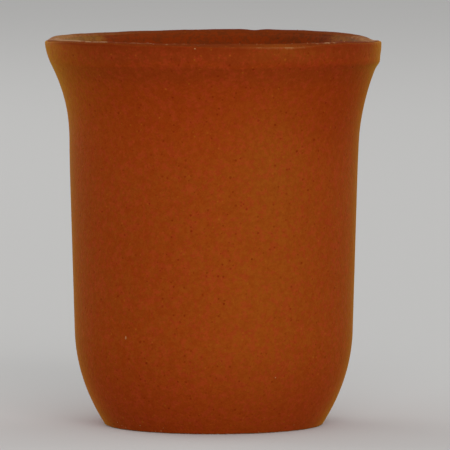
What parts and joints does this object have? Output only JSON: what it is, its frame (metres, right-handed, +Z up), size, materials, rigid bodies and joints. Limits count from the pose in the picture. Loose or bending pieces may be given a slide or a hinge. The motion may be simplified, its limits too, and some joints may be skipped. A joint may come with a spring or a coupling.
{
  "type": "shot cup",
  "caption": "Small wheel-thrown drinking cup without a handle: flat foot, rounded heel, slightly tapered wall, flared lip, red-brown satin outside.",
  "frame": {"origin": "middle of the flat foot, on the surface that the cup stands on", "axes": "+Z up along the cup's axis, from the foot to the mouth; X and Y are any two directions round the axis, with the picture's view looking along +Y"},
  "size_m": [0.0518, 0.0518, 0.06],
  "materials": {
    "fired_clay": "matte",
    "satin_slip": "satin",
    "brown_glaze": "satin"
  },
  "bodies": {
    "root": {"clay_body": "fired_clay", "outer_slip": "satin_slip", "liner_glaze": "brown_glaze"}
  },
  "joints": []
}
